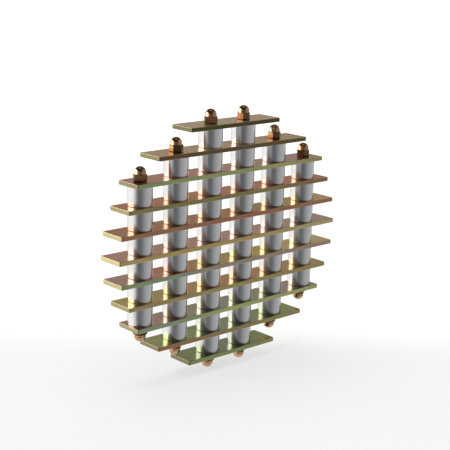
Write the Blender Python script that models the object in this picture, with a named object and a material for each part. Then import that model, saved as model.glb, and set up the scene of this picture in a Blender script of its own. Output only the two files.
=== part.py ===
"""Round trivet of flat bars, in metres, +Z up.

Eleven flat steel bars lie level, one above another, cut to lengths that give the stack a round
outline. Six tie rods run up through them. On every rod a round aluminium spacer fills each gap
between two bars, and a domed cap nut closes each end and clamps the stack. X runs along the bars,
the front looks along -Y, and the origin is the centre of the middle bar.
"""

import math

import bmesh
import bpy
from mathutils import Matrix

# Flat bars
BAR_DEPTH = 0.0250
BAR_THICKNESS = 0.0035
BAR_CORNER_RADIUS = 0.0012
BAR_CORNER_STEPS = 3
# Spacers
SPACER_DIAMETER = 0.0200
SPACER_LENGTH = 0.0155
SLEEVE_WALL = 0.0008
# Tie rods
ROD_DIAMETER = 0.0060
ROD_SPACING = 0.0350
ROD_END_CHAMFER = 0.0006
# Cap nuts
NUT_ACROSS_FLATS = 0.0100
NUT_HEIGHT = 0.0110
NUT_HEX_HEIGHT = 0.0050
NUT_CHAMFER = 0.0006
NUT_DOME_DIAMETER = 0.0092
NUT_BORE_DEPTH = 0.0080
NUT_DRILL_POINT = 0.0010
# Fits
RUNNING_GAP = 0.0003
SEAT_GAP = 0.0003
ROD_END_GAP = 0.0010
CUT_OVERRUN = 0.0020

# From the middle bar outwards, on each side: rods through the bar, and the length of bar beyond
# the outer side of the last spacer.
BARS_FROM_MIDDLE = (
    {"rods": 6, "margin": 0.0185},
    {"rods": 6, "margin": 0.0165},
    {"rods": 6, "margin": 0.0095},
    {"rods": 6, "margin": 0.0015},
    {"rods": 4, "margin": 0.0160},
    {"rods": 2, "margin": 0.0195},
)
# Where each cap nut's corner came to rest when it was tightened, in degrees, left to right
TOP_NUT_TURNS = (4, 28, 59, 45, 35, 48)
BOTTOM_NUT_TURNS = (22, 51, 13, 37, 6, 29)
# Sides of each turned piece
ROUND_SIDES = 24
DOME_STEPS = 4

# Colours: the chromate film is a different shade on each bar, from the top bar down.
BAR_COLOURS = (
    (0.20, 0.16, 0.09),
    (0.36, 0.25, 0.17),
    (0.40, 0.47, 0.24),
    (0.42, 0.39, 0.17),
    (0.46, 0.25, 0.18),
    (0.50, 0.42, 0.18),
    (0.42, 0.36, 0.28),
    (0.45, 0.36, 0.24),
    (0.42, 0.48, 0.22),
    (0.38, 0.27, 0.17),
    (0.34, 0.32, 0.18),
)
ALUMINIUM = (0.78, 0.79, 0.82)
BRASS = (0.55, 0.34, 0.17)
STEEL = (0.56, 0.55, 0.52)

PITCH = BAR_THICKNESS + SPACER_LENGTH
MIDDLE = len(BARS_FROM_MIDDLE) - 1
BAR_COUNT = 2 * MIDDLE + 1
ROD_COUNT = BARS_FROM_MIDDLE[0]["rods"]
ROD_RADIUS = ROD_DIAMETER / 2
BORE_RADIUS = ROD_RADIUS + RUNNING_GAP
SLEEVE_RADIUS = BORE_RADIUS + SLEEVE_WALL
SLEEVE_HOLE_RADIUS = SLEEVE_RADIUS + RUNNING_GAP


def clear_scene():
    for obj in list(bpy.data.objects):
        bpy.data.objects.remove(obj, do_unlink=True)


def finish(name, colour, roughness, metallic=1.0):
    """A plain material with the colour, roughness and metallic value of one piece."""
    material = bpy.data.materials.new(name)
    material.use_nodes = True
    shader = material.node_tree.nodes["Principled BSDF"]
    shader.inputs["Base Color"].default_value = (*colour, 1.0)
    shader.inputs["Roughness"].default_value = roughness
    shader.inputs["Metallic"].default_value = metallic
    return material


def add_object(name, bm, location=(0, 0, 0), material=None):
    """Puts a finished bmesh into the scene as one named object with smooth round sides."""
    bmesh.ops.recalc_face_normals(bm, faces=bm.faces)
    mesh = bpy.data.meshes.new(name)
    bm.to_mesh(mesh)
    bm.free()
    mesh.shade_smooth()
    mesh.set_sharp_from_angle(angle=math.radians(30))
    if material:
        mesh.materials.append(material)
    obj = bpy.data.objects.new(name, mesh)
    obj.location = location
    bpy.context.scene.collection.objects.link(obj)
    return obj


def as_cutter(obj):
    obj.hide_render = True
    obj.display_type = "WIRE"
    return obj


def add_boolean(obj, operation, other):
    modifier = obj.modifiers.new(f"{operation.lower()}_{other.name}", "BOOLEAN")
    modifier.operation = operation
    modifier.solver = "EXACT"
    modifier.object = other


def turned(outline):
    """A bmesh turned round Z from an outline of (radius, height) points, closed on itself."""
    bm = bmesh.new()
    points = [bm.verts.new((radius, 0, height)) for radius, height in outline]
    edges = [bm.edges.new((a, b)) for a, b in zip(points, points[1:] + points[:1])]
    bmesh.ops.spin(
        bm,
        geom=points + edges,
        cent=(0, 0, 0),
        axis=(0, 0, 1),
        angle=2 * math.pi,
        steps=ROUND_SIDES,
    )
    bmesh.ops.remove_doubles(bm, verts=bm.verts, dist=1e-7)
    # An outline that ends on the axis leaves flattened faces there.
    bmesh.ops.dissolve_degenerate(bm, edges=bm.edges, dist=1e-7)
    return bm


def bar_height(bar):
    """Height of a bar's centre. Bars are counted from 0 at the top."""
    return (MIDDLE - bar) * PITCH


def rod_x(rod):
    """Rods are counted from 0 at the left."""
    return (rod - (ROD_COUNT - 1) / 2) * ROD_SPACING


def rods_through(bar):
    """The rods that pass through a bar: the middle ones, as many as the bar takes."""
    count = BARS_FROM_MIDDLE[abs(bar - MIDDLE)]["rods"]
    first = (ROD_COUNT - count) // 2
    return range(first, first + count)


def bars_on(rod):
    """The bars that a rod passes through, top to bottom."""
    return [bar for bar in range(BAR_COUNT) if rod in rods_through(bar)]


def bars_with_sleeve(rod):
    """Every second bar on a rod, where a sleeve joins the spacers above and below it."""
    return bars_on(rod)[1::2]


def bar_length(bar):
    last_rod = rods_through(bar)[-1]
    reach = rod_x(last_rod) + SPACER_DIAMETER / 2
    return 2 * (reach + BARS_FROM_MIDDLE[abs(bar - MIDDLE)]["margin"])


def bar_outline(length):
    """Corners of a flat bar seen from above, each rounded by an arc."""
    radius = min(BAR_CORNER_RADIUS, BAR_DEPTH / 4)
    points = []
    for quarter in range(4):
        centre_x = (length / 2 - radius) * (1 if quarter in (0, 3) else -1)
        centre_y = (BAR_DEPTH / 2 - radius) * (1 if quarter in (0, 1) else -1)
        for step in range(BAR_CORNER_STEPS + 1):
            angle = (quarter + step / BAR_CORNER_STEPS) * math.pi / 2
            points.append(
                (centre_x + radius * math.cos(angle), centre_y + radius * math.sin(angle))
            )
    return points


def add_drill(name, holes, low, high):
    """One hidden cutter of upright round cylinders, from a list of (x, radius)."""
    bm = bmesh.new()
    for x, radius in holes:
        cylinder = turned([(0, low), (radius, low), (radius, high), (0, high)])
        cylinder.transform(Matrix.Translation((x, 0, 0)))
        loose = bpy.data.meshes.new("cylinder")
        cylinder.to_mesh(loose)
        cylinder.free()
        bm.from_mesh(loose)
        bpy.data.meshes.remove(loose)
    return as_cutter(add_object(name, bm))


def add_bar(bar):
    """A flat bar with one hole for each rod, wider where a sleeve passes."""
    name = f"bar_{bar + 1:02d}"
    bm = bmesh.new()
    low = -BAR_THICKNESS / 2
    base = bm.faces.new([bm.verts.new((x, y, low)) for x, y in bar_outline(bar_length(bar))])
    raised = bmesh.ops.extrude_face_region(bm, geom=[base])["geom"]
    top = [item for item in raised if isinstance(item, bmesh.types.BMVert)]
    bmesh.ops.translate(bm, verts=top, vec=(0, 0, BAR_THICKNESS))
    colour = BAR_COLOURS[bar % len(BAR_COLOURS)]
    obj = add_object(name, bm, (0, 0, bar_height(bar)), finish(name, colour, 0.35))
    holes = [
        (rod_x(rod), SLEEVE_HOLE_RADIUS if bar in bars_with_sleeve(rod) else BORE_RADIUS)
        for rod in rods_through(bar)
    ]
    drill = add_drill(f"{name}_drill", holes, low - CUT_OVERRUN, -low + CUT_OVERRUN)
    drill.location = obj.location
    add_boolean(obj, "DIFFERENCE", drill)


def add_spacer_pair(rod, bar):
    """Two round spacers, above and below one bar, joined by a thin sleeve inside its hole."""
    face = BAR_THICKNESS / 2 + SEAT_GAP
    end = face + SPACER_LENGTH - 2 * SEAT_GAP
    outer = SPACER_DIAMETER / 2
    outline = [
        (BORE_RADIUS, -end),
        (outer, -end),
        (outer, -face),
        (SLEEVE_RADIUS, -face),
        (SLEEVE_RADIUS, face),
        (outer, face),
        (outer, end),
        (BORE_RADIUS, end),
    ]
    name = f"spacers_rod_{rod + 1}_bar_{bar + 1:02d}"
    place = (rod_x(rod), 0, bar_height(bar))
    add_object(name, turned(outline), place, finish(name, ALUMINIUM, 0.22))


def nut_seat_height(rod):
    """Distance from the middle bar's centre to a nut's seat, the same above and below."""
    top_bar = bars_on(rod)[0]
    return bar_height(top_bar) + BAR_THICKNESS / 2 + SEAT_GAP


def add_rod(rod):
    """A tie rod that ends inside both cap nuts, with chamfered ends."""
    end = nut_seat_height(rod) + NUT_BORE_DEPTH - ROD_END_GAP
    shoulder = end - ROD_END_CHAMFER
    tip = ROD_RADIUS - ROD_END_CHAMFER
    half = [(ROD_RADIUS, shoulder), (tip, end), (0, end)]
    outline = [(radius, -height) for radius, height in reversed(half)] + half
    name = f"tie_rod_{rod + 1}"
    add_object(name, turned(outline), (rod_x(rod), 0, 0), finish(name, STEEL, 0.4))


def nut_blank_outline():
    """Turned outline of a cap nut: chamfered hexagon ends, a short collar and a round dome."""
    corner = NUT_ACROSS_FLATS / math.sqrt(3)
    flat = NUT_ACROSS_FLATS / 2
    dome = min(NUT_DOME_DIAMETER / 2, flat)
    dome_centre = NUT_HEIGHT - dome
    # The top chamfer runs from beyond the corners in to the flats' own radius.
    outline = [(0, 0), (flat, 0), (corner + NUT_CHAMFER, NUT_CHAMFER)]
    outline += [(corner + NUT_CHAMFER, NUT_HEX_HEIGHT - NUT_CHAMFER)]
    outline += [(flat, NUT_HEX_HEIGHT), (dome, NUT_HEX_HEIGHT)]
    for step in range(DOME_STEPS + 1):
        angle = step / DOME_STEPS * math.pi / 2
        outline.append((dome * math.cos(angle), dome_centre + dome * math.sin(angle)))
    outline[-1] = (0, NUT_HEIGHT)
    return outline


def add_nut_cutters():
    """The hexagon and the blind bore that shape each nut, as two hidden cutters at the origin."""
    corner = NUT_ACROSS_FLATS / math.sqrt(3)
    hexagon = bmesh.new()
    bmesh.ops.create_cone(
        hexagon,
        segments=6,
        radius1=corner,
        radius2=corner,
        depth=NUT_HEIGHT + 2 * CUT_OVERRUN,
        cap_ends=True,
        matrix=Matrix.Translation((0, 0, NUT_HEIGHT / 2)) @ Matrix.Rotation(math.pi / 6, 4, "Z"),
    )
    bore = [
        (0, -CUT_OVERRUN),
        (BORE_RADIUS, -CUT_OVERRUN),
        (BORE_RADIUS, NUT_BORE_DEPTH),
        (0, NUT_BORE_DEPTH + NUT_DRILL_POINT),
    ]
    hexagon_cutter = as_cutter(add_object("nut_hexagon", hexagon))
    bore_cutter = as_cutter(add_object("nut_bore", turned(bore)))
    return hexagon_cutter, bore_cutter


def add_nut_mesh():
    """One finished cap nut, seat down at the origin, that every nut shares."""
    nut = add_object("nut_pattern", turned(nut_blank_outline()))
    hexagon, bore = add_nut_cutters()
    add_boolean(nut, "INTERSECT", hexagon)
    add_boolean(nut, "DIFFERENCE", bore)
    bpy.context.view_layer.update()
    depsgraph = bpy.context.evaluated_depsgraph_get()
    mesh = bpy.data.meshes.new_from_object(nut.evaluated_get(depsgraph))
    mesh.name = "cap_nut"
    for helper in (nut, hexagon, bore):
        bpy.data.objects.remove(helper, do_unlink=True)
    mesh.shade_smooth()
    mesh.set_sharp_from_angle(angle=math.radians(30))
    return mesh


def add_nuts(rod, pattern):
    """A cap nut at the top and, turned over, at the bottom of a rod."""
    ends = (("top", 1, 0.0, TOP_NUT_TURNS), ("bottom", -1, math.pi, BOTTOM_NUT_TURNS))
    for end, side, tip_over, turns in ends:
        name = f"cap_nut_{end}_{rod + 1}"
        mesh = pattern.copy()
        mesh.name = name
        mesh.materials.clear()
        mesh.materials.append(finish(name, BRASS, 0.2))
        nut = bpy.data.objects.new(name, mesh)
        nut.location = (rod_x(rod), 0, side * nut_seat_height(rod))
        nut.rotation_euler = (tip_over, 0, math.radians(turns[rod % len(turns)]))
        bpy.context.scene.collection.objects.link(nut)


def main():
    clear_scene()
    for bar in range(BAR_COUNT):
        add_bar(bar)
    pattern = add_nut_mesh()
    for rod in range(ROD_COUNT):
        add_rod(rod)
        add_nuts(rod, pattern)
        for bar in bars_with_sleeve(rod):
            add_spacer_pair(rod, bar)


main()
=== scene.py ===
# %% [markdown]
# # A round trivet of stacked flat bars
# Eleven flat steel bars lie level, one above another. Their lengths give the stack a round outline. Six
# rods run up through them, a turned aluminium spacer fills each gap on each rod, and a domed cap nut
# closes both ends of every rod. The shapes and places are already settled in a imported model, so this
# lesson only builds better-looking pieces in the same places. The first step loads that model as a fixed
# frame, and keeps its box.

# %% Load the fixed frame
import math

import bmesh
import bpy
from mathutils import Matrix, Vector


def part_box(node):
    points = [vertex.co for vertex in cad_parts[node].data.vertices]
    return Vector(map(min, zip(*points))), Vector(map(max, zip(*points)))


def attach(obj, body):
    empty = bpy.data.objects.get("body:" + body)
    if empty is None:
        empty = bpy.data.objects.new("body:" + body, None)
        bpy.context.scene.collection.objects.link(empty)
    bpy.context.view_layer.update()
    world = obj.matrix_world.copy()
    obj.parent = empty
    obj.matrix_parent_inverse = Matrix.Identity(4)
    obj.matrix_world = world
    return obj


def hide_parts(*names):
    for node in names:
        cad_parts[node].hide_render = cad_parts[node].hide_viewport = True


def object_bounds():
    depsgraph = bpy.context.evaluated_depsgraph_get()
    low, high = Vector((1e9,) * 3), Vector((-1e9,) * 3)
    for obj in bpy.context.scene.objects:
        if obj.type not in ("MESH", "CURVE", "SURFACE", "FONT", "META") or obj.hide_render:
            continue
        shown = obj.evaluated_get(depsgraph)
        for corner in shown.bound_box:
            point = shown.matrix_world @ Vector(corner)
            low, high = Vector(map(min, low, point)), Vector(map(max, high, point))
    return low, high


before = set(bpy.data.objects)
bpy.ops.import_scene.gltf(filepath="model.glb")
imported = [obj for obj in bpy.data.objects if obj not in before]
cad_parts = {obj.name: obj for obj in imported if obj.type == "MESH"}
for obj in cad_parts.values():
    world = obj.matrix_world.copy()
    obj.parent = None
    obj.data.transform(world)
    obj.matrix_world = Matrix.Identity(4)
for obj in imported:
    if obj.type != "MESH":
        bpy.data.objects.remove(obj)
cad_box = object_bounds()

mm = 0.001
box_size = [round(v / mm, 1) for v in cad_box[1] - cad_box[0]]
print("loaded", len(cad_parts), "nodes, box in mm:", box_size)

# %% [markdown]
# ## Sizes read from the frame
# A size that is typed twice soon disagrees with itself. Every length below is measured from a node's
# box instead: the bars give their own thickness, depth and length, and the rods give the places of the
# holes. The few sizes that a box doesn't show, such as a rounded edge, are named where they are used.

# %% Measure the bars, rods and spacers
def size_of(node):
    """Width, depth and height of a node's box."""
    low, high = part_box(node)
    return high - low


def centre_of(node):
    low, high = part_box(node)
    return (low + high) / 2


def nodes_called(start):
    return sorted(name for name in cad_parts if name.startswith(start))


bar_names = nodes_called("bar_")
rod_names = nodes_called("tie_rod_")
bar_depth, bar_thickness = size_of(bar_names[0]).y, size_of(bar_names[0]).z
bar_pitch = centre_of(bar_names[0]).z - centre_of(bar_names[1]).z
bar_gap = bar_pitch - bar_thickness
rod_pitch = centre_of(rod_names[1]).x - centre_of(rod_names[0]).x
rod_diameter = size_of(rod_names[0]).x
spacer_diameter = size_of(nodes_called("spacers_rod_1_")[0]).x
print("bars", len(bar_names), "rods", len(rod_names), "gap between bars", round(bar_gap / mm, 2), "mm")

# %% [markdown]
# ## Camera
# A long lens from about a metre away shows the stack almost without perspective, as a product
# photographer would take it. The camera is placed by its angle, height and distance from the middle
# bar, so each of the three can be changed alone. Azimuth is measured from the front, elevation from
# level, and a very small roll levels the stack in the picture.

# %% Place the camera
view_azimuth = math.radians(-41.69)
view_elevation = math.radians(14.10)
view_roll = math.radians(1.08)
view_distance = 0.9414
aim_right, aim_up = -0.0003, 0.0104
lens_length, sensor_width = 91.8, 36.0

back = Vector((
    math.sin(view_azimuth) * math.cos(view_elevation),
    -math.cos(view_azimuth) * math.cos(view_elevation),
    math.sin(view_elevation),
))
right = Vector((math.cos(view_azimuth), math.sin(view_azimuth), 0))
up = back.cross(right)
turn_picture = Matrix.Rotation(view_roll, 3, back)

camera = bpy.data.objects.new("camera", bpy.data.cameras.new("camera"))
camera.data.lens = lens_length
camera.data.sensor_width = sensor_width
camera.data.clip_start, camera.data.clip_end = 0.01, 20
axes = Matrix((turn_picture @ right, turn_picture @ up, back)).transposed()
camera.matrix_world = Matrix.Translation(
    back * view_distance + right * aim_right + up * aim_up) @ axes.to_4x4()
bpy.context.scene.collection.objects.link(camera)
bpy.context.scene.camera = camera
bpy.context.scene.view_settings.view_transform = "Standard"
print("camera stands", round(camera.location.length, 3), "m from the middle bar")

# %% [markdown]
# ## Small helpers for node trees
# The light, the finishes and the shapes below are all node trees. Making a node by hand takes a line
# for the node, one for each option and one for each wire, which hides the idea. These helpers say it
# in one call: a value given to a socket is either a number, or another node's output to wire in.

# %% Node helpers
def feed(tree, socket, value):
    """Wires an output into a socket, or sets the socket's own value."""
    if isinstance(value, bpy.types.NodeSocket):
        tree.links.new(value, socket)
    else:
        socket.default_value = value


def add(tree, kind, values=None, **options):
    """A new node with its options set and its sockets fed by name or number."""
    node = tree.nodes.new(kind)
    for option, choice in options.items():
        setattr(node, option, choice)
    for name, value in (values or {}).items():
        feed(tree, node.inputs[name], value)
    return node


def calc(tree, operation, *terms):
    """One step of arithmetic, which gives back its result's socket."""
    node = add(tree, "ShaderNodeMath", dict(enumerate(terms)), operation=operation)
    return node.outputs[0]


def between(tree, value, low, high, start=0.0, end=1.0):
    """Follows a value from low to high, softly, and gives start to end."""
    names = {"Value": value, "From Min": low, "From Max": high, "To Min": start, "To Max": end}
    return add(tree, "ShaderNodeMapRange", names, interpolation_type="SMOOTHSTEP").outputs[0]


def vector(tree, **parts):
    """A vector from its named parts, with zero for the others."""
    return add(tree, "ShaderNodeCombineXYZ", parts).outputs[0]


def split(tree, source):
    """The X, Y and Z outputs of a vector."""
    return add(tree, "ShaderNodeSeparateXYZ", {0: source}).outputs


def blend(tree, share, first, second):
    """Mixes two colours by a share. A colour is (red, green, blue) or another node's output."""
    node = add(tree, "ShaderNodeMix", {0: share}, data_type="RGBA")
    for socket, colour in ((6, first), (7, second)):
        feed(tree, node.inputs[socket], (*colour, 1.0) if isinstance(colour, tuple) else colour)
    return node.outputs[2]


def shade_ramp(tree, position, shades):
    """A ramp through (place, colour) stops, read at a position from 0 to 1."""
    node = add(tree, "ShaderNodeValToRGB", {0: position})
    stops = node.color_ramp.elements
    for _ in shades[2:]:
        stops.new(0.5)
    for stop, (place, colour) in zip(stops, shades):
        stop.position = place
    for stop, (place, colour) in zip(stops, shades):
        stop.color = (*colour, 1.0)
    return node.outputs["Color"]


print("helpers ready")

# %% [markdown]
# ## Studio light
# Polished metal has hardly any colour of its own: it shows the room. So the room is drawn first, as a
# world whose brightness follows the compass direction: a bright wall to the left, a narrow dark gap
# beside the camera, and a grey wall that brightens to the right. It darkens overhead and gets pale
# again below, like a light table. One card hangs to the left as a soft box, and dimmer ones behind and
# to the right, for the flat tops and the rounded edges. A pale patch overhead shows the tops from
# above. The same could be built from lamps and boards, but a world is one small tree and has no noise
# at its borders.

# %% Draw the studio as a world
studio_walls = (
    # compass angle in degrees, brightness
    (-180, 0.80), (-167, 0.48), (-155, 0.22), (-142, 0.12), (-122, 0.12), (-108, 0.17), (-96, 0.24),
    (-80, 0.32), (-58, 0.39), (-30, 0.44), (8, 0.55), (38, 0.28), (44, 0.12), (52, 0.12), (60, 0.40),
    (84, 0.95), (140, 1.05), (164, 1.02), (180, 0.80),
)
bright_tint, dim_tint, bright_from = (1.0, 0.98, 0.94), (1.0, 1.0, 1.0), 0.6
card_border = 10
cards = (
    # left and right compass angles, low and high angles above level, brightness
    (98, 176, 0, 32, 4.2),      # the soft box
    (12, 84, 2, 44, 0.49),      # behind
    (-80, 4, 2, 50, 0.42),      # to the right
)
# where each starts and is full, in degrees above level, and its brightness
ceiling, overhead, light_table = (6, 26, 0.05), (70, 82, 0.36), (-20, -42, 0.74)
fill_light, page_white = 0.5, 1

world = bpy.data.worlds.new("studio")
world.use_nodes = True
bpy.context.scene.world = world
room = world.node_tree
direction = split(room, add(room, "ShaderNodeTexCoord").outputs["Generated"])
compass = calc(room, "ARCTAN2", direction["Y"], direction["X"])
round_the_room = calc(room, "MULTIPLY_ADD", compass, 1 / (2 * math.pi), 0.5)
height = direction["Z"]


def turn_share(angle):
    """A compass angle as a share of the whole turn, as the ramp reads it."""
    return (angle + 180) / 360


def cover(view, mask, level):
    """Shows a plain grey over what is there already, as far as the mask says."""
    return blend(room, mask, view, (level, level, level))


def from_height(start, full):
    return between(room, height, math.sin(math.radians(start)), math.sin(math.radians(full)))


def hang_card(view, left, right, low, high, level):
    """Hangs a soft-edged card, between two compass angles and two heights in degrees."""
    sides = calc(
        room, "MULTIPLY",
        between(room, round_the_room, turn_share(left), turn_share(left + card_border)),
        between(room, round_the_room, turn_share(right), turn_share(right - card_border)))
    ends = calc(
        room, "MULTIPLY", from_height(low, low + card_border), from_height(high, high - card_border))
    return cover(view, calc(room, "MULTIPLY", sides, ends), level)


wall_stops = []
for angle, level in studio_walls:
    tint = bright_tint if level > bright_from else dim_tint
    wall_stops.append((turn_share(angle), [level * channel for channel in tint]))
seen = shade_ramp(room, round_the_room, wall_stops)
seen = cover(seen, from_height(*ceiling[:2]), ceiling[2])
for card in cards:
    seen = hang_card(seen, *card)
for start, full, level in (overhead, light_table):
    seen = cover(seen, from_height(start, full), level)
rays = add(room, "ShaderNodeLightPath").outputs
seen = cover(seen, rays["Is Diffuse Ray"], fill_light)
seen = cover(seen, rays["Is Camera Ray"], page_white)
feed(room, room.nodes["Background"].inputs["Color"], seen)
print("studio world drawn from", len(studio_walls), "directions and", len(cards), "cards")

# %% [markdown]
# ## Floor and lamps
# The stack stands on a pale seamless sweep. The floor is a plain sheet at the height of the lowest cap
# nut, grey-white beside the object and burnt out to white behind it, which an added glow makes. A wide
# light above evens the floor and gives the soft shade under the stack. Both stay out of the metal's
# reflections, which belong to the room. The small domed nuts need a stronger sparkle than the walls
# give them, so a second lamp stands at the left and lights only them.

# %% Lay the floor and hang the lights
floor_height = cad_box[0].z
floor_reach = 6.0
floor_shade = (0.26, 0.26, 0.26)
near_glow, far_glow = 0.64, 0.78
glow_starts, glow_full = 0.0, 0.14
side_glow_starts, side_glow_full, side_glow = 0.4, 1.4, 0.3

floor_mesh = bpy.data.meshes.new("floor")
sheet = bmesh.new()
bmesh.ops.create_grid(sheet, x_segments=2, y_segments=2, size=floor_reach)
sheet.transform(Matrix.Translation((0, 0, floor_height)))
sheet.to_mesh(floor_mesh)
sheet.free()
floor = bpy.data.objects.new("floor", floor_mesh)
floor.visible_glossy = False
bpy.context.scene.collection.objects.link(floor)

sweep = bpy.data.materials.new("pale sweep")
sweep.use_nodes = True
tree = sweep.node_tree
paper = tree.nodes["Principled BSDF"]
feed(tree, paper.inputs["Base Color"], (*floor_shade, 1))
feed(tree, paper.inputs["Roughness"], 0.9)
feed(tree, paper.inputs["Specular IOR Level"], 0.0)
away = Vector((-back.x, -back.y, 0)).normalized()
place = add(tree, "ShaderNodeTexCoord").outputs["Object"]
behind = add(
    tree, "ShaderNodeVectorMath", {0: place, 1: away}, operation="DOT_PRODUCT").outputs["Value"]
from_middle = add(tree, "ShaderNodeVectorMath", {0: place}, operation="LENGTH").outputs["Value"]
glowing = calc(
    tree, "MAXIMUM", between(tree, behind, glow_starts, glow_full),
    between(tree, from_middle, side_glow_starts, side_glow_full))
glow = calc(tree, "MULTIPLY_ADD", glowing, far_glow - near_glow, near_glow)
far_out = between(tree, from_middle, side_glow_starts, side_glow_full, 0.0, side_glow)
glow = calc(tree, "ADD", glow, far_out)
feed(tree, paper.inputs["Emission Strength"], glow)
feed(tree, paper.inputs["Emission Color"], (1, 1, 1, 1))
floor_mesh.materials.append(sweep)



def hang_lamp(name, shape, width, height, watts, placed):
    lamp = bpy.data.lights.new(name, "AREA")
    lamp.shape, lamp.energy = shape, watts
    lamp.size, lamp.size_y = width, height
    light = bpy.data.objects.new(name, lamp)
    light.matrix_world = placed
    bpy.context.scene.collection.objects.link(light)
    return light


top_light = hang_lamp("top light", "DISK", 1.6, 1.6, 14, Matrix.Translation((0.10, 0.20, 1.2)))
top_light.visible_glossy = False

nut_light_compass, nut_light_drop, nut_light_distance = math.radians(140), -0.05, 1.2
from_left = Vector((math.cos(nut_light_compass), math.sin(nut_light_compass), nut_light_drop))
from_left.normalize()
facing_the_stack = from_left.to_track_quat("Z", "Y").to_matrix().to_4x4()
nut_light_place = Matrix.Translation(from_left * nut_light_distance) @ facing_the_stack
nut_light = hang_lamp("nut light", "RECTANGLE", 1.4, 0.7, 9.0, nut_light_place)
nut_light.visible_camera = False
nuts_only = bpy.data.collections.new("lit by the nut light")
nut_light.light_linking.receiver_collection = nuts_only
print("floor at", round(floor_height / mm, 1), "mm")

# %% [markdown]
# ## Trees with named sizes
# Both kinds of tree used below, geometry trees that make shapes and shader groups that make patterns,
# take named inputs, so one tree serves every bar or every finish. This helper makes the tree and its
# sockets from a list of names and starting values.

# %% Make a tree with named inputs
socket_kinds = {float: "NodeSocketFloat", int: "NodeSocketInt", tuple: "NodeSocketVector"}


def new_tree(name, kind, inputs, outputs):
    """A tree with its input and output nodes. A word as a starting value is the socket's kind."""
    tree = bpy.data.node_groups.new(name, kind)
    for label, start in inputs.items():
        plain = not isinstance(start, str)
        socket_kind = socket_kinds[type(start)] if plain else start
        socket = tree.interface.new_socket(label, in_out="INPUT", socket_type=socket_kind)
        if plain:
            socket.default_value = start
    for label, socket_kind in outputs.items():
        tree.interface.new_socket(label, in_out="OUTPUT", socket_type=socket_kind)
    return tree, tree.nodes.new("NodeGroupInput").outputs, tree.nodes.new("NodeGroupOutput")


def use_group(tree, group, values):
    """Places a shader group in a material and gives back its outputs."""
    node = tree.nodes.new("ShaderNodeGroup")
    node.node_tree = group
    for name, value in values.items():
        feed(tree, node.inputs[name], value)
    return node.outputs


print("named trees ready")

# %% [markdown]
# ## Fine lines, handling marks and rounded edges
# Three effects return on every metal here. Drawn bar and turned rod both carry fine lines left by the
# tool, which are noise stretched hard in one direction. Fingers and rags leave soft dull patches, which
# are wide noise. And an edge that has been rounded catches light and loses its coating first: its faces
# lean neither straight up nor straight out, so the surface direction alone finds it.

# %% Shared surface groups
def fine_lines_group():
    """Noise that is squeezed by a different amount along each direction."""
    inputs = {"Lines per Metre": (1.0, 1.0, 1.0)}
    tree, given, result = new_tree("fine lines", "ShaderNodeTree", inputs, {"Lines": "NodeSocketFloat"})
    place = add(tree, "ShaderNodeTexCoord").outputs["Object"]
    squeezed = add(
        tree, "ShaderNodeVectorMath", {0: place, 1: given["Lines per Metre"]}, operation="MULTIPLY")
    noise = add(
        tree, "ShaderNodeTexNoise",
        {"Vector": squeezed.outputs[0], "Scale": 1.0, "Detail": 3.0, "Roughness": 0.6})
    feed(tree, result.inputs["Lines"], noise.outputs[0])
    return tree


def handling_group():
    """Soft patches of a given size, from 0 where the metal is clean to 1 where it is dull."""
    inputs = {"Patch Size": 0.02}
    tree, given, result = new_tree(
        "handling marks", "ShaderNodeTree", inputs, {"Dull": "NodeSocketFloat"})
    place = add(tree, "ShaderNodeTexCoord").outputs["Object"]
    scale = calc(tree, "DIVIDE", 1.0, given["Patch Size"])
    noise = add(
        tree, "ShaderNodeTexNoise",
        {"Vector": place, "Scale": scale, "Detail": 4.0, "Roughness": 0.55, "Distortion": 0.4})
    feed(tree, result.inputs["Dull"], between(tree, noise.outputs[0], 0.40, 0.70))
    return tree


def rounded_edge_group():
    """1 on faces that lean between level and upright, broken up by small noise."""
    inputs = {"Broken by": 0.3}
    tree, given, result = new_tree(
        "rounded edges", "ShaderNodeTree", inputs, {"Edge": "NodeSocketFloat"})
    facing = split(tree, add(tree, "ShaderNodeNewGeometry").outputs["True Normal"])
    level = calc(tree, "ABSOLUTE", facing["Z"])
    out_of_upright = between(tree, level, 0.05, 0.25)
    out_of_level = between(tree, level, 0.995, 0.95)
    both = calc(tree, "MULTIPLY", out_of_upright, out_of_level)
    place = add(tree, "ShaderNodeTexCoord").outputs["Object"]
    noise = add(tree, "ShaderNodeTexNoise", {"Vector": place, "Scale": 400.0, "Detail": 3.0})
    gaps = calc(tree, "MULTIPLY", noise.outputs[0], given["Broken by"])
    feed(tree, result.inputs["Edge"], calc(tree, "MULTIPLY", both, calc(tree, "SUBTRACT", 1.0, gaps)))
    return tree


fine_lines = fine_lines_group()
handling = handling_group()
rounded_edges = rounded_edge_group()


def new_metal(name):
    """A plain metal to put a finish on: the material, its tree and its shader's inputs."""
    material = bpy.data.materials.new(name)
    material.use_nodes = True
    surface = material.node_tree.nodes["Principled BSDF"].inputs
    surface["Metallic"].default_value = 1.0
    return material, material.node_tree, surface


def ripple(tree, surface, height, strength, distance):
    bump = add(tree, "ShaderNodeBump", {"Height": height, "Strength": strength, "Distance": distance})
    feed(tree, surface["Normal"], bump.outputs[0])


print("shared groups:", fine_lines.name, "/", handling.name, "/", rounded_edges.name)
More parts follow.
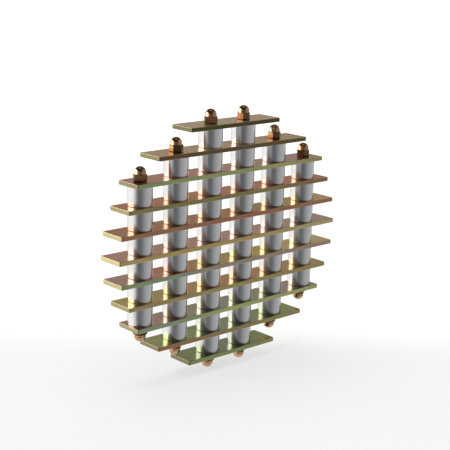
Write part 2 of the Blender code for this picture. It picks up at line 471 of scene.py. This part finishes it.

# %% [markdown]
# ## The chromate film
# Zinc-plated steel dipped in yellow chromate grows a clear film less than a micron thick. Light
# reflected from its two sides interferes, so the colour depends on the thickness alone: bare zinc is
# grey, then come straw, gold, olive, brown, copper, rose, sand, two greens, pale gold and olive again.
# That order and the shades are given, not worked out from optics. The bars aren't painted one colour
# each: a group works out a film thickness all along the bar, and one ramp turns thickness into colour
# for every bar.

# %% Film thickness to colour
film_shades = (
    (0.00, (0.66, 0.60, 0.52)),
    (0.10, (0.78, 0.70, 0.40)),
    (0.20, (0.74, 0.56, 0.20)),
    (0.28, (0.50, 0.47, 0.19)),
    (0.36, (0.55, 0.36, 0.17)),
    (0.44, (0.60, 0.28, 0.16)),
    (0.54, (0.64, 0.38, 0.30)),
    (0.62, (0.58, 0.45, 0.36)),
    (0.71, (0.40, 0.52, 0.36)),
    (0.81, (0.43, 0.56, 0.24)),
    (0.91, (0.70, 0.68, 0.26)),
    (1.00, (0.46, 0.42, 0.17)),
)


film_places = [f"{face} {part}" for face in ("Front", "Top") for part in ("Left", "Middle", "Right")]


def along_bar(tree, share, start, middle, end):
    """A value that runs from start to middle to end as share goes from -1 to 1."""
    first = between(tree, share, -1.0, 0.0)
    second = between(tree, share, 0.0, 1.0)
    to_middle = calc(tree, "MULTIPLY_ADD", first, calc(tree, "SUBTRACT", middle, start), start)
    rest = calc(tree, "SUBTRACT", end, middle)
    return calc(tree, "MULTIPLY_ADD", second, rest, to_middle)


def chromate_group():
    """Colour of the film from its thickness at the left, middle and right of a bar, scaled by a depth
    for each kind of face.
    """
    inputs = {"Half Length": 0.1, "Mottle": 0.08, "Cut End": 0.12}
    inputs.update({"Front Depth": 1.0, "Top Depth": 1.0, "End Depth": 1.0})
    inputs.update({place: 0.5 for place in film_places})
    tree, given, result = new_tree(
        "chromate film", "ShaderNodeTree", inputs, {"Color": "NodeSocketColor"})
    place = add(tree, "ShaderNodeTexCoord").outputs["Object"]
    share = calc(tree, "DIVIDE", split(tree, place)["X"], given["Half Length"])
    front = along_bar(tree, share, given["Front Left"], given["Front Middle"], given["Front Right"])
    top = along_bar(tree, share, given["Top Left"], given["Top Middle"], given["Top Right"])
    facing = split(tree, add(tree, "ShaderNodeNewGeometry").outputs["True Normal"])
    is_level = between(tree, calc(tree, "ABSOLUTE", facing["Z"]), 0.3, 0.9)
    is_end = between(tree, calc(tree, "ABSOLUTE", facing["X"]), 0.5, 0.9)
    thickness = calc(tree, "MULTIPLY_ADD", is_level, calc(tree, "SUBTRACT", top, front), front)
    to_end = calc(tree, "SUBTRACT", given["Cut End"], thickness)
    thickness = calc(tree, "MULTIPLY_ADD", is_end, to_end, thickness)
    stretched = {0: place, 1: (24.0, 80.0, 240.0)}
    drifting = add(tree, "ShaderNodeVectorMath", stretched, operation="MULTIPLY").outputs[0]
    clouds = add(
        tree, "ShaderNodeTexNoise",
        {"Vector": drifting, "Scale": 1.0, "Detail": 4.0, "Roughness": 0.55})
    swing = calc(tree, "MULTIPLY_ADD", clouds.outputs[0], 2.0, -1.0)
    thickness = calc(tree, "MULTIPLY_ADD", swing, given["Mottle"], thickness)
    colour = shade_ramp(tree, thickness, film_shades)
    to_top = calc(tree, "SUBTRACT", given["Top Depth"], given["Front Depth"])
    depth = calc(tree, "MULTIPLY_ADD", is_level, to_top, given["Front Depth"])
    depth = calc(tree, "MULTIPLY_ADD", is_end, calc(tree, "SUBTRACT", given["End Depth"], depth), depth)
    deepened = add(tree, "ShaderNodeVectorMath", {0: colour, "Scale": depth}, operation="SCALE")
    feed(tree, result.inputs["Color"], deepened.outputs[0])
    return tree


chromate = chromate_group()
print("film ramp has", len(film_shades), "shades")

# %% [markdown]
# ## The bars' finish
# No two bars leave the bath alike, so each has its own run of shades. The numbers below are film
# thicknesses from left to right and a depth of shade, for the narrow front edge and then for the flat
# top, and last the depth on the cut end. A depth scales the brightness of its face beyond the film's
# colour, and the tops of the lowest bars are the darkest. On top of the colour come drawn lines along
# the bar, dull patches, and zinc that shows through on the rounded edges.

# %% Finish of each bar
bar_films = {
    # bar: front edge left, middle, right and depth of shade; the same for the top; depth on the cut end
    "bar_01": (0.28, 0.29, 0.30, 0.25, 0.06, 0.06, 0.08, 1.28, 0.32),
    "bar_02": (0.42, 0.34, 0.32, 0.38, 0.12, 0.09, 0.07, 1.03, 0.44),
    "bar_03": (0.80, 0.86, 0.96, 0.90, 0.54, 0.60, 0.62, 1.18, 0.46),
    "bar_04": (0.27, 0.28, 0.36, 0.72, 0.38, 0.41, 0.46, 1.18, 0.62),
    "bar_05": (0.40, 0.44, 0.45, 0.90, 0.40, 0.38, 0.16, 1.03, 0.90),
    "bar_06": (0.21, 0.22, 0.13, 0.97, 0.56, 0.60, 0.63, 1.12, 0.99),
    "bar_07": (0.80, 0.63, 0.57, 0.95, 0.62, 0.24, 0.12, 1.02, 0.82),
    "bar_08": (0.34, 0.29, 0.32, 1.05, 0.26, 0.36, 0.34, 1.12, 0.58),
    "bar_09": (0.71, 0.89, 0.87, 1.00, 0.60, 0.70, 0.65, 0.92, 0.59),
    "bar_10": (0.41, 0.34, 0.27, 0.90, 0.84, 0.72, 0.82, 0.84, 0.40),
    "bar_11": (0.87, 0.86, 0.88, 0.73, 0.78, 0.74, 0.84, 0.73, 0.33),
}
bare_zinc = (0.66, 0.65, 0.60)


def chromated_steel(name, half_length, film):
    """Finish of one bar: film colours, drawn lines, dull patches and bare zinc on its edges."""
    material, tree, surface = new_metal(f"chromate on {name}")
    surface["Specular Tint"].default_value = (0.84, 0.66, 0.62, 1.0)
    values = {"Half Length": half_length}
    values.update({"Front Depth": film[3], "Top Depth": film[7], "End Depth": film[8]})
    values.update(zip(film_places, film[:3] + film[4:7]))
    colour = use_group(tree, chromate, values)["Color"]
    edge = use_group(tree, rounded_edges, {"Broken by": 0.8})["Edge"]
    worn = calc(tree, "MULTIPLY", edge, 0.45)
    feed(tree, surface["Base Color"], blend(tree, worn, colour, bare_zinc))
    lines = use_group(tree, fine_lines, {"Lines per Metre": (60.0, 1800.0, 1800.0)})["Lines"]
    dull = use_group(tree, handling, {"Patch Size": 0.03})["Dull"]
    rough = calc(tree, "MULTIPLY_ADD", lines, 0.10, 0.17)
    feed(tree, surface["Roughness"], calc(tree, "MULTIPLY_ADD", dull, 0.07, rough))
    ripple(tree, surface, lines, 0.10, 0.05 * mm)
    return material


bar_finish = {
    name: chromated_steel(name, size_of(name).x / 2, bar_films[name]) for name in bar_names
}
print("bar finishes:", len(bar_finish))

# %% [markdown]
# ## Drawing an outline and running a tree
# A turned or swept piece is an outline carried along a path. The outline is drawn in a few points,
# with arcs worked out by a helper, and becomes the starting mesh of the tree. The tree's own inputs are
# set by their identifiers before anything is evaluated, the result is kept as a plain mesh, and the
# modifier goes. Repeated points are then merged and every face is turned outwards.

# %% Outline, arc and tree runner
def arc(centre, radius, start, end, steps):
    """Points round part of a circle, with its angles in degrees."""
    points = []
    for step in range(steps + 1):
        angle = math.radians(start + (end - start) * step / steps)
        points.append((centre[0] + radius * math.cos(angle), centre[1] + radius * math.sin(angle)))
    return points


def line(start, end, steps):
    """Points from start to end, with the start left out."""
    shares = [step / steps for step in range(1, steps + 1)]
    return [(start[0] + (end[0] - start[0]) * s, start[1] + (end[1] - start[1]) * s) for s in shares]


def drawn_outline(points, from_radius=0.0, closed=False):
    """An outline as a mesh of edges, measured from from_radius. A sweep turns its Y downwards."""
    mesh = bpy.data.meshes.new("outline")
    edges = [(i, i + 1) for i in range(len(points) - 1)]
    if closed:
        edges.append((len(points) - 1, 0))
    mesh.from_pydata([(out - from_radius, -rise, 0) for out, rise in points], edges, [])
    return mesh


def grow(name, tree, outline, values):
    """Runs a tree on an outline and gives the result as a plain mesh object."""
    obj = bpy.data.objects.new(name, outline)
    modifier = obj.modifiers.new(tree.name, "NODES")
    modifier.node_group = tree
    for socket in tree.interface.items_tree:
        if socket.in_out == "INPUT" and socket.name in values:
            modifier[socket.identifier] = values[socket.name]
    bpy.context.scene.collection.objects.link(obj)
    depsgraph = bpy.context.evaluated_depsgraph_get()
    mesh = bpy.data.meshes.new_from_object(obj.evaluated_get(depsgraph))
    obj.modifiers.remove(modifier)
    mesh.materials.clear()
    mesh.materials.append(values["Finish"])
    obj.data = mesh
    return obj


def close_up(obj):
    """Merges doubled points, turns faces outwards and says whether the mesh is one closed skin."""
    bm = bmesh.new()
    bm.from_mesh(obj.data)
    bmesh.ops.remove_doubles(bm, verts=bm.verts, dist=0.0005 * mm)
    bmesh.ops.dissolve_degenerate(bm, edges=bm.edges, dist=0.0005 * mm)
    bmesh.ops.recalc_face_normals(bm, faces=bm.faces)
    open_edges = sum(1 for edge in bm.edges if len(edge.link_faces) != 2)
    bm.to_mesh(obj.data)
    bm.free()
    return open_edges


def smooth_except(obj, degrees):
    """Shades a piece smooth, except where its faces meet at more than this angle."""
    obj.data.shade_smooth()
    obj.data.set_sharp_from_angle(angle=math.radians(degrees))


def turned(tree, given, steps):
    """Carries the outline round a circle, as a lathe would."""
    outline = add(tree, "GeometryNodeMeshToCurve", {0: given["Geometry"]}).outputs[0]
    circle = add(
        tree, "GeometryNodeCurvePrimitiveCircle",
        {"Resolution": steps, "Radius": given["Turning Radius"]}).outputs[0]
    return add(tree, "GeometryNodeCurveToMesh", {0: circle, 1: outline}).outputs[0]


def end_tree(tree, given, result, shape):
    """Ends a shape's tree: its copies become real and the finish goes on."""
    real = add(tree, "GeometryNodeRealizeInstances", {0: shape}).outputs[0]
    finished = add(tree, "GeometryNodeSetMaterial", {"Geometry": real, "Material": given["Finish"]})
    feed(tree, result.inputs[0], finished.outputs[0])
    return tree


def keep_piece(obj, slot, *nodes):
    """Hands a finished piece to the frame: it stands for these nodes and moves with the object."""
    obj.data.name = obj.name
    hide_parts(*nodes)
    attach(obj, "root")


print("outline helpers ready")

# %% [markdown]
# ## Flat bars
# A bar is a flat strip with rounded corners and a hole for every rod, and all its edges are broken a
# little so that it doesn't cut. Modelling the plate first and bevelling it later gives untidy corners
# round the holes. Here the edge comes first: its rounded profile is swept round the plate's outline
# and, the other way round, round each hole. The rims that this leaves are then filled above and below.

# %% Flat bar tree
def flat_bar_tree():
    inputs = {
        "Geometry": "NodeSocketGeometry", "Length": 0.2, "Depth": 0.025, "Thickness": 0.0035,
        "Corner Radius": 0.0012, "Hole Count": 6, "Hole Spacing": 0.035, "Hole Diameter": 0.0065,
        "Height": 0.0, "Finish": "NodeSocketMaterial",
    }
    tree, given, result = new_tree(
        "flat bar", "GeometryNodeTree", inputs, {"Geometry": "NodeSocketGeometry"})
    edge_profile = add(tree, "GeometryNodeMeshToCurve", {0: given["Geometry"]}).outputs[0]
    plate = add(
        tree, "GeometryNodeCurvePrimitiveQuadrilateral",
        {"Width": given["Length"], "Height": given["Depth"]}, mode="RECTANGLE").outputs[0]
    plate = add(
        tree, "GeometryNodeFilletCurve",
        {"Curve": plate, "Count": 6, "Radius": given["Corner Radius"]}, mode="POLY").outputs[0]
    gaps = calc(tree, "SUBTRACT", given["Hole Count"], 1.0)
    first_hole = calc(tree, "MULTIPLY", calc(tree, "MULTIPLY", gaps, given["Hole Spacing"]), -0.5)
    start, step = vector(tree, X=first_hole), vector(tree, X=given["Hole Spacing"])
    centres = add(
        tree, "GeometryNodeMeshLine",
        {"Count": given["Hole Count"], "Start Location": start, "Offset": step},
        mode="OFFSET").outputs[0]
    hole_radius = calc(tree, "MULTIPLY", given["Hole Diameter"], 0.5)
    hole = add(
        tree, "GeometryNodeCurvePrimitiveCircle", {"Resolution": 48, "Radius": hole_radius}).outputs[0]
    holes = add(tree, "GeometryNodeInstanceOnPoints", {"Points": centres, "Instance": hole}).outputs[0]
    holes = add(tree, "GeometryNodeRealizeInstances", {0: holes}).outputs[0]
    holes = add(tree, "GeometryNodeReverseCurve", {0: holes}).outputs[0]
    paths = tree.nodes.new("GeometryNodeJoinGeometry")
    feed(tree, paths.inputs[0], holes)
    feed(tree, paths.inputs[0], plate)
    walls = add(tree, "GeometryNodeCurveToMesh", {0: paths.outputs[0], 1: edge_profile}).outputs[0]
    faces_on_edge = tree.nodes.new("GeometryNodeInputMeshEdgeNeighbors").outputs[0]
    on_rim = add(
        tree, "FunctionNodeCompare", {2: faces_on_edge, 3: 1},
        data_type="INT", operation="EQUAL").outputs[0]
    spot = split(tree, tree.nodes.new("GeometryNodeInputPosition").outputs[0])
    upper = calc(tree, "GREATER_THAN", spot["Z"], 0.0)
    upper_rim = add(tree, "FunctionNodeBooleanMath", {0: on_rim, 1: upper}, operation="AND").outputs[0]
    rim = add(tree, "GeometryNodeMeshToCurve", {0: walls, 1: upper_rim}).outputs[0]
    sheet = add(tree, "GeometryNodeFillCurve", {0: rim}, mode="TRIANGLES").outputs[0]
    half = calc(tree, "MULTIPLY", given["Thickness"], 0.5)
    skins = tree.nodes.new("GeometryNodeJoinGeometry")
    feed(tree, skins.inputs[0], walls)
    for side in (1.0, -1.0):
        rise = vector(tree, Z=calc(tree, "MULTIPLY", half, side))
        skin = add(tree, "GeometryNodeTransform", {"Geometry": sheet, "Translation": rise}).outputs[0]
        feed(tree, skins.inputs[0], skin)
    whole = add(
        tree, "GeometryNodeMergeByDistance", {0: skins.outputs[0], "Distance": 0.002 * mm}).outputs[0]
    lift = vector(tree, Z=given["Height"])
    placed = add(tree, "GeometryNodeTransform", {"Geometry": whole, "Translation": lift}).outputs[0]
    return end_tree(tree, given, result, placed)


flat_bar = flat_bar_tree()
print("flat bar tree has", len(flat_bar.nodes), "nodes")

# %% Make the eleven bars
edge_round = 0.35 * mm
corner_radius = 1.2 * mm
hole_diameter = rod_diameter + 0.5 * mm


def rods_through(bar):
    """The rods whose height range takes in this bar."""
    level = centre_of(bar).z
    return [rod for rod in rod_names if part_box(rod)[0].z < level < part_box(rod)[1].z]


def bar_edge():
    """Profile of a bar's edge: rounded above, straight, rounded below."""
    half = bar_thickness / 2
    upper = arc((-edge_round, half - edge_round), edge_round, 90, 0, 3)
    lower = arc((-edge_round, edge_round - half), edge_round, 0, -90, 3)
    return drawn_outline(upper + lower)


for name in bar_names:
    values = {
        "Length": size_of(name).x, "Depth": bar_depth, "Thickness": bar_thickness,
        "Corner Radius": corner_radius, "Hole Count": len(rods_through(name)),
        "Hole Spacing": rod_pitch, "Hole Diameter": hole_diameter,
        "Height": centre_of(name).z, "Finish": bar_finish[name],
    }
    bar = grow(f"flat_{name}", flat_bar, bar_edge(), values)
    open_edges = close_up(bar)
    for face in bar.data.polygons:
        face.use_smooth = 0.01 < abs(face.normal.z) < 0.99
    keep_piece(bar, "chromated_bar", name)
    length = round(size_of(name).x / mm)
    print(name, "length", length, "mm,", len(bar.data.polygons), "faces, open edges", open_edges)

# %% [markdown]
# ## The spacers' finish
# The spacers are taken as short lengths of aluminium, turned on a lathe and left bright. Seen close,
# very fine rings run round them, and the light band down each one is a little uneven. The finish is a
# pale metal, smooth enough to mirror the walls, with rings in its bump and roughness.

# %% Finish of the spacers
def turned_aluminium():
    material, tree, surface = new_metal("turned aluminium")
    rings = use_group(tree, fine_lines, {"Lines per Metre": (12.0, 12.0, 5200.0)})["Lines"]
    dull = use_group(tree, handling, {"Patch Size": 0.012})["Dull"]
    edge = use_group(tree, rounded_edges, {"Broken by": 0.2})["Edge"]
    tint = blend(tree, calc(tree, "MULTIPLY", dull, 0.5), (0.86, 0.87, 0.89), (0.78, 0.79, 0.80))
    feed(tree, surface["Base Color"], blend(tree, edge, tint, (0.93, 0.94, 0.95)))
    rough = calc(tree, "MULTIPLY_ADD", rings, 0.08, 0.16)
    feed(tree, surface["Roughness"], calc(tree, "MULTIPLY_ADD", dull, 0.06, rough))
    ripple(tree, surface, rings, 0.12, 0.03 * mm)
    return material


aluminium = turned_aluminium()
print("finish:", aluminium.name)

# %% [markdown]
# ## Spacers
# All the spacers are the same turned ring, which a lathe makes by carrying one outline round a circle.
# Each rod carries a column of them, one in every gap between its bars. So the tree turns one spacer and
# repeats it up a line of points. The column is then split into single spacers, because each is a
# separate piece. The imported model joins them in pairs, so two spacers here stand for one of its nodes.

# %% Spacer column tree
def spacer_column_tree():
    inputs = {
        "Geometry": "NodeSocketGeometry", "Turning Radius": 0.0066, "Count": 6, "Pitch": 0.019,
        "Rod Place": 0.0, "Lowest": 0.0, "Finish": "NodeSocketMaterial",
    }
    tree, given, result = new_tree(
        "spacer column", "GeometryNodeTree", inputs, {"Geometry": "NodeSocketGeometry"})
    ring = turned(tree, given, 96)
    start, step = vector(tree, X=given["Rod Place"], Z=given["Lowest"]), vector(tree, Z=given["Pitch"])
    places = add(
        tree, "GeometryNodeMeshLine",
        {"Count": given["Count"], "Start Location": start, "Offset": step}, mode="OFFSET").outputs[0]
    column = add(tree, "GeometryNodeInstanceOnPoints", {"Points": places, "Instance": ring}).outputs[0]
    return end_tree(tree, given, result, column)


spacer_column = spacer_column_tree()
print("spacer column tree has", len(spacer_column.nodes), "nodes")

# %% Make and split the columns
spacer_clearance = 0.05 * mm
spacer_chamfer = 0.3 * mm
spacer_length = bar_gap - 2 * spacer_clearance
spacer_outer = spacer_diameter / 2
spacer_inner = hole_diameter / 2
turning_radius = (spacer_outer + spacer_inner) / 2


def spacer_outline():
    """Section of the spacer's wall: straight sides with a small rounded corner at each end."""
    half = spacer_length / 2
    side = half - spacer_chamfer
    near_end = side - 0.2 * mm
    rounded = arc((spacer_outer - spacer_chamfer, side), spacer_chamfer, 90, 0, 3)
    upper = [(spacer_inner, half), (spacer_outer - 2 * spacer_chamfer, half)]
    upper += [*rounded, (spacer_outer, near_end)]
    lower = [(out, -rise) for out, rise in reversed(upper)]
    return drawn_outline(upper + lower, turning_radius, closed=True)


def bars_on(rod):
    low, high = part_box(rod)
    return [bar for bar in bar_names if low.z < centre_of(bar).z < high.z]


def one_of(column, number, count, name):
    """Copies one spacer out of a column whose spacers all have the same number of points."""
    share = len(column.data.vertices) // count
    bm = bmesh.new()
    bm.from_mesh(column.data)
    others = [v for v in bm.verts if v.index // share != number]
    bmesh.ops.delete(bm, geom=others, context="VERTS")
    mesh = column.data.copy()
    bm.to_mesh(mesh)
    bm.free()
    piece = bpy.data.objects.new(name, mesh)
    bpy.context.scene.collection.objects.link(piece)
    return piece


def node_at(place, names):
    """The node, out of these, whose box holds a place."""
    for name in names:
        low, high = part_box(name)
        if low.x <= place.x <= high.x and low.z <= place.z <= high.z:
            return name
    return None


spacer_nodes = nodes_called("spacers_")
spacer_total = 0
for number, rod in enumerate(rod_names, 1):
    bars = bars_on(rod)
    lowest = centre_of(bars[-1]).z + bar_pitch / 2
    values = {
        "Turning Radius": turning_radius, "Count": len(bars) - 1, "Pitch": bar_pitch,
        "Rod Place": centre_of(rod).x, "Lowest": lowest, "Finish": aluminium,
    }
    column = grow(f"column_{number}", spacer_column, spacer_outline(), values)
    for gap in range(len(bars) - 1):
        spacer = one_of(column, gap, len(bars) - 1, f"spacer_rod_{number}_gap_{gap + 1:02d}")
        open_edges = close_up(spacer)
        smooth_except(spacer, 40)
        middle = Vector((centre_of(rod).x, 0, lowest + gap * bar_pitch))
        keep_piece(spacer, "spacer", node_at(middle, spacer_nodes))
        spacer_total += 1
    bpy.data.objects.remove(column)
    print(rod, "carries", len(bars) - 1, "spacers, open edges on the last:", open_edges)
print("spacers in all:", spacer_total)

# %% [markdown]
# ## The cap nuts' finish
# The cap nuts are taken as solid brass, buffed to a mirror on the dome. The finish is bright on the dome
# and darker and duller low down, on the hexagon. A faint orange-peel ripple keeps the reflection from
# looking ideal.

# %% Finish of the cap nuts
def buffed_brass():
    material, tree, surface = new_metal("buffed brass")
    dull = use_group(tree, handling, {"Patch Size": 0.004})["Dull"]
    lines = use_group(tree, fine_lines, {"Lines per Metre": (900.0, 900.0, 2600.0)})["Lines"]
    rubbed = blend(tree, dull, (0.68, 0.43, 0.25), (0.52, 0.28, 0.14))
    # Below the top of the hexagon the brass is darker and duller than on the dome.
    low_down = add(tree, "ShaderNodeAttribute", attribute_name="darker_low_down").outputs["Fac"]
    feed(tree, surface["Base Color"], blend(tree, low_down, rubbed, (0.24, 0.13, 0.065)))
    rough = calc(tree, "MULTIPLY_ADD", dull, 0.08, 0.06)
    feed(tree, surface["Roughness"], calc(tree, "MULTIPLY_ADD", low_down, 0.12, rough))
    ripple(tree, surface, lines, 0.06, 0.03 * mm)
    return material


brass = buffed_brass()
print("finish:", brass.name)

# %% [markdown]
# ## Cap nuts
# A cap nut starts as hexagonal bar. The lathe cuts the chamfers, the collar and the dome, and a blind
# hole is drilled from below. A Boolean of a turned piece and a hexagon gives the same shape but rough
# borders. Here the tree turns the outline, then pulls every point that lies outside the hexagon in to
# it. Where the two meet, a soft minimum leaves the slightly rubbed edge of a used nut.

# %% Cap nut tree
def cap_nut_tree():
    inputs = {
        "Geometry": "NodeSocketGeometry", "Turning Radius": 0.004, "Across Flats": 0.01,
        "Rubbed Edge": 0.0003, "Hexagon Height": 0.005, "Seat": (0.0, 0.0, 0.0),
        "Tip and Turn": (0.0, 0.0, 0.0), "Finish": "NodeSocketMaterial",
    }
    tree, given, result = new_tree(
        "cap nut", "GeometryNodeTree", inputs, {"Geometry": "NodeSocketGeometry"})
    blank = turned(tree, given, 96)
    parts = split(tree, tree.nodes.new("GeometryNodeInputPosition").outputs[0])
    flat = vector(tree, X=parts["X"], Y=parts["Y"])
    radius = add(tree, "ShaderNodeVectorMath", {0: flat}, operation="LENGTH").outputs["Value"]
    angle = calc(tree, "ARCTAN2", parts["Y"], parts["X"])
    in_side = calc(tree, "FLOORED_MODULO", angle, math.pi / 3)
    from_middle = calc(tree, "SUBTRACT", in_side, math.pi / 6)
    half_flats = calc(tree, "MULTIPLY", given["Across Flats"], 0.5)
    hexagon = calc(tree, "DIVIDE", half_flats, calc(tree, "COSINE", from_middle))
    pulled = calc(tree, "SMOOTH_MIN", radius, hexagon, given["Rubbed Edge"])
    share = calc(tree, "DIVIDE", pulled, calc(tree, "MAXIMUM", radius, 0.001 * mm))
    new_x = calc(tree, "MULTIPLY", parts["X"], share)
    new_y = calc(tree, "MULTIPLY", parts["Y"], share)
    moved = vector(tree, X=new_x, Y=new_y, Z=parts["Z"])
    nut = add(tree, "GeometryNodeSetPosition", {"Geometry": blank, "Position": moved}).outputs[0]
    # Marks the points below the top of the hexagon, where the finish is darker and duller.
    below_collar = calc(tree, "SUBTRACT", given["Hexagon Height"], parts["Z"])
    darker_share = between(tree, below_collar, -0.0004, 0.0002)
    mark = {"Geometry": nut, "Name": "darker_low_down", "Value": darker_share}
    nut = add(
        tree, "GeometryNodeStoreNamedAttribute", mark, data_type="FLOAT", domain="POINT").outputs[0]
    placed = add(
        tree, "GeometryNodeTransform",
        {"Geometry": nut, "Translation": given["Seat"], "Rotation": given["Tip and Turn"]}).outputs[0]
    return end_tree(tree, given, result, placed)


cap_nut = cap_nut_tree()
print("cap nut tree has", len(cap_nut.nodes), "nodes")

# %% Make the twelve cap nuts
across_flats = 10.0 * mm
nut_chamfer = 0.6 * mm
hex_height = 5.0 * mm
dome_radius = 4.6 * mm
collar_fillet = 0.25 * mm
bore_radius = hole_diameter / 2
bore_depth = 8.0 * mm
drill_point = 1.0 * mm
nut_turning_radius = 4.0 * mm


def nut_outline(height):
    """Half section of a cap nut from the drill point, down the bore and up to the top of its dome."""
    flat = across_flats / 2
    beyond = across_flats / math.sqrt(3) + nut_chamfer
    dome_centre = height - dome_radius
    points = [(0, bore_depth + drill_point), (bore_radius, bore_depth), (bore_radius, 0)]
    points += [(flat - 0.3 * mm, 0), (flat, 0)]
    points += line(points[-1], (beyond, nut_chamfer), 10)
    points += line(points[-1], (beyond, hex_height - nut_chamfer), 3)
    points += line(points[-1], (flat, hex_height), 10)
    points += [(dome_radius + collar_fillet, hex_height)]
    corner = (dome_radius + collar_fillet, hex_height + collar_fillet)
    points += arc(corner, collar_fillet, 270, 180, 3)[1:]
    points += arc((0, dome_centre), dome_radius, 0, 90, 18)[:-1] + [(0, height)]
    return drawn_outline(points, nut_turning_radius)


def corner_angle(node):
    """Direction of the nut's first hexagon corner: its points that lie furthest from its axis."""
    middle = centre_of(node)
    spots = [v.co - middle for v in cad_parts[node].data.vertices]
    furthest = max(spots, key=lambda spot: round(math.hypot(spot.x, spot.y), 6))
    return math.atan2(furthest.y, furthest.x) % (math.pi / 3)


for node in nodes_called("cap_nut_"):
    low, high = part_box(node)
    upright = centre_of(node).z > 0
    seat = Vector((centre_of(node).x, 0, low.z if upright else high.z))
    values = {
        "Turning Radius": nut_turning_radius, "Across Flats": across_flats, "Rubbed Edge": 0.4 * mm,
        "Hexagon Height": hex_height, "Seat": seat, "Finish": brass,
        "Tip and Turn": (0.0 if upright else math.pi, 0.0, corner_angle(node)),
    }
    nut = grow(f"domed_{node}", cap_nut, nut_outline(high.z - low.z), values)
    open_edges = close_up(nut)
    smooth_except(nut, 35)
    nuts_only.objects.link(nut)
    keep_piece(nut, "cap_nut", node)
    turn = round(math.degrees(corner_angle(node)))
    print(node, "turned", turn, "degrees,", len(nut.data.polygons), "faces, open edges", open_edges)

# %% [markdown]
# ## Tie rods
# The rods are hidden once the stack is clamped, but they hold it together, so they are made as they
# might be bought: a plain steel shank with a thread at both ends for the cap nuts. The thread is a
# screw surface. Its radius at any point depends on the height and the angle round the rod together, so
# a tree can cut it into a turned blank with one formula, which a modelled helix can't do as evenly.

# %% Finish and tree of the tie rods
def threaded_steel():
    material, tree, surface = new_metal("zinc steel rod")
    lines = use_group(tree, fine_lines, {"Lines per Metre": (1500.0, 1500.0, 80.0)})["Lines"]
    dull = use_group(tree, handling, {"Patch Size": 0.01})["Dull"]
    feed(tree, surface["Base Color"], blend(tree, dull, (0.62, 0.62, 0.60), (0.50, 0.49, 0.46)))
    feed(tree, surface["Roughness"], calc(tree, "MULTIPLY_ADD", lines, 0.18, 0.24))
    ripple(tree, surface, lines, 0.15, 0.05 * mm)
    return material


def tie_rod_tree():
    inputs = {
        "Geometry": "NodeSocketGeometry", "Turning Radius": 0.002, "Thread Pitch": 0.001,
        "Thread Depth": 0.0006, "Plain Half Length": 0.08, "Rod Place": (0.0, 0.0, 0.0),
        "Finish": "NodeSocketMaterial",
    }
    tree, given, result = new_tree(
        "tie rod", "GeometryNodeTree", inputs, {"Geometry": "NodeSocketGeometry"})
    blank = turned(tree, given, 24)
    parts = split(tree, tree.nodes.new("GeometryNodeInputPosition").outputs[0])
    angle = calc(tree, "ARCTAN2", parts["Y"], parts["X"])
    turns_up = calc(tree, "DIVIDE", parts["Z"], given["Thread Pitch"])
    turns_round = calc(tree, "DIVIDE", angle, 2 * math.pi)
    groove = calc(tree, "PINGPONG", calc(tree, "SUBTRACT", turns_up, turns_round), 0.5)
    groove = calc(tree, "MULTIPLY", calc(tree, "MULTIPLY", groove, 2.0), given["Thread Depth"])
    past_shank = calc(tree, "SUBTRACT", calc(tree, "ABSOLUTE", parts["Z"]), given["Plain Half Length"])
    cut = calc(tree, "MULTIPLY", groove, between(tree, past_shank, 0.0, 0.001))
    flat = vector(tree, X=parts["X"], Y=parts["Y"])
    radius = add(tree, "ShaderNodeVectorMath", {0: flat}, operation="LENGTH").outputs["Value"]
    deepest = calc(tree, "MINIMUM", cut, calc(tree, "MULTIPLY", radius, 0.5))
    inwards = add(tree, "ShaderNodeVectorMath", {0: flat}, operation="NORMALIZE").outputs[0]
    back_by = calc(tree, "MULTIPLY", deepest, -1.0)
    shift = add(
        tree, "ShaderNodeVectorMath", {0: inwards, "Scale": back_by}, operation="SCALE").outputs[0]
    rod = add(tree, "GeometryNodeSetPosition", {"Geometry": blank, "Offset": shift}).outputs[0]
    placed = add(
        tree, "GeometryNodeTransform", {"Geometry": rod, "Translation": given["Rod Place"]}).outputs[0]
    return end_tree(tree, given, result, placed)


steel = threaded_steel()
tie_rod = tie_rod_tree()
print("tie rod tree has", len(tie_rod.nodes), "nodes")

# %% Make the six tie rods
thread_pitch = 1.0 * mm
thread_depth = 0.6 * mm
thread_length = 13.0 * mm
rod_chamfer = 0.6 * mm
rod_turning_radius = 2.0 * mm
rows_per_turn = 8


def rod_outline(half_length):
    """Half section of a rod, with points close together only where the thread is cut."""
    radius = rod_diameter / 2
    shoulder = half_length - rod_chamfer
    rows = round(thread_length / thread_pitch) * rows_per_turn
    thread = line((radius, shoulder - thread_length), (radius, shoulder), rows)
    end = [(radius - rod_chamfer, half_length), (0, half_length)]
    upper = [(radius, shoulder - thread_length), *thread, *end]
    lower = [(out, -rise) for out, rise in reversed(upper)]
    return drawn_outline(lower + upper, rod_turning_radius)


for number, node in enumerate(rod_names, 1):
    half_length = size_of(node).z / 2
    values = {
        "Turning Radius": rod_turning_radius, "Thread Pitch": thread_pitch,
        "Thread Depth": thread_depth,
        "Plain Half Length": half_length - rod_chamfer - thread_length,
        "Rod Place": centre_of(node), "Finish": steel,
    }
    rod = grow(f"threaded_rod_{number}", tie_rod, rod_outline(half_length), values)
    open_edges = close_up(rod)
    smooth_except(rod, 35)
    keep_piece(rod, "tie_rod", node)
    print(node, "length", round(size_of(node).z / mm, 1), "mm, open edges", open_edges)
